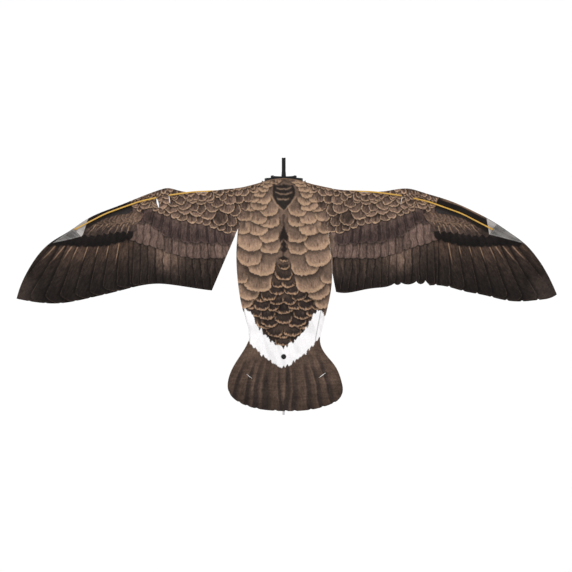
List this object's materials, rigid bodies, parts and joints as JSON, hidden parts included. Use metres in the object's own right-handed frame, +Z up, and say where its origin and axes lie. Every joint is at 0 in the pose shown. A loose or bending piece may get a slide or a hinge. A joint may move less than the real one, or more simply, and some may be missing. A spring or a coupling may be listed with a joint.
{
  "type": "motion wing decoy",
  "caption": "Printed cloth goose decoy on a nose tube: flat back sheet over a wind-filled belly, wings that flap on flexible rods.",
  "frame": {"origin": "centre of the nose tube's mouth", "axes": "+Y forward out of the nose tube, +Z up out of the bird's back, +X to the bird's right wing"},
  "size_m": [1.519, 0.724, 0.1057],
  "materials": {
    "printed_cloth": "matt woven polyester with a printed feather pattern",
    "belly_cloth": "matt pale woven polyester",
    "binding_tape": "folded woven tape",
    "ripstop": "grey ripstop, slightly shiny",
    "glass_fibre": "yellow pultruded glass-fibre rod",
    "black_plastic": "satin moulded black plastic",
    "clear_vinyl": "milky soft vinyl cap",
    "rivet_metal": "dark zinc-plated steel"
  },
  "bodies": {
    "body": {"nose_tube": "black_plastic", "neck_collar": "black_plastic", "collar_bridge": "black_plastic", "collar_rivets": "rivet_metal", "spar_hub": "black_plastic", "hub_screws": "rivet_metal", "back_sheet": "printed_cloth", "belly_gore_left": "belly_cloth", "belly_gore_centre": "belly_cloth", "belly_gore_right": "belly_cloth", "mouth_binding": "binding_tape", "spine_rod": "glass_fibre", "spine_end_cap": "clear_vinyl", "spine_clip": "black_plastic", "rump_snap_socket": "black_plastic", "rump_snap_cap": "black_plastic", "tail_loop": "binding_tape", "left_spar_root": "glass_fibre", "right_spar_root": "glass_fibre"},
    "left_wing": {"left_wing_sheet": "printed_cloth", "left_spar_mid": "glass_fibre"},
    "left_wing_tip": {"left_tip_sheet": "printed_cloth", "left_spar_tip": "glass_fibre", "left_tip_patch": "ripstop", "left_tip_pocket": "ripstop", "left_spar_cap": "clear_vinyl"},
    "right_wing": {"right_wing_sheet": "printed_cloth", "right_spar_mid": "glass_fibre"},
    "right_wing_tip": {"right_tip_sheet": "printed_cloth", "right_spar_tip": "glass_fibre", "right_tip_patch": "ripstop", "right_tip_pocket": "ripstop", "right_spar_cap": "clear_vinyl"}
  },
  "joints": [
    {"name": "left_wing_flap", "type": "hinge", "parent": "body", "child": "left_wing", "pos_m": [-0.137, -0.15, 0.0095], "axis": [0, 1, 0], "range_deg": [-24, 34], "stiffness_Nm_per_rad": 1.9, "springref_deg": 4.87},
    {"name": "left_tip_flex", "type": "hinge", "parent": "left_wing", "child": "left_wing_tip", "pos_m": [-0.4, -0.25, 0.01], "axis": [0, 1, 0], "range_deg": [-13, 18], "stiffness_Nm_per_rad": 1.2, "springref_deg": 1.72},
    {"name": "right_wing_flap", "type": "hinge", "parent": "body", "child": "right_wing", "pos_m": [0.137, -0.15, 0.0095], "axis": [0, -1, 0], "range_deg": [-24, 34], "stiffness_Nm_per_rad": 1.9, "springref_deg": 4.87},
    {"name": "right_tip_flex", "type": "hinge", "parent": "right_wing", "child": "right_wing_tip", "pos_m": [0.4, -0.25, 0.01], "axis": [0, -1, 0], "range_deg": [-13, 18], "stiffness_Nm_per_rad": 1.2, "springref_deg": 1.72}
  ],
  "couplings": [
    {"joint": "left_tip_flex", "follows": "left_wing_flap", "ratio": 0.5},
    {"joint": "right_tip_flex", "follows": "right_wing_flap", "ratio": 0.5}
  ]
}
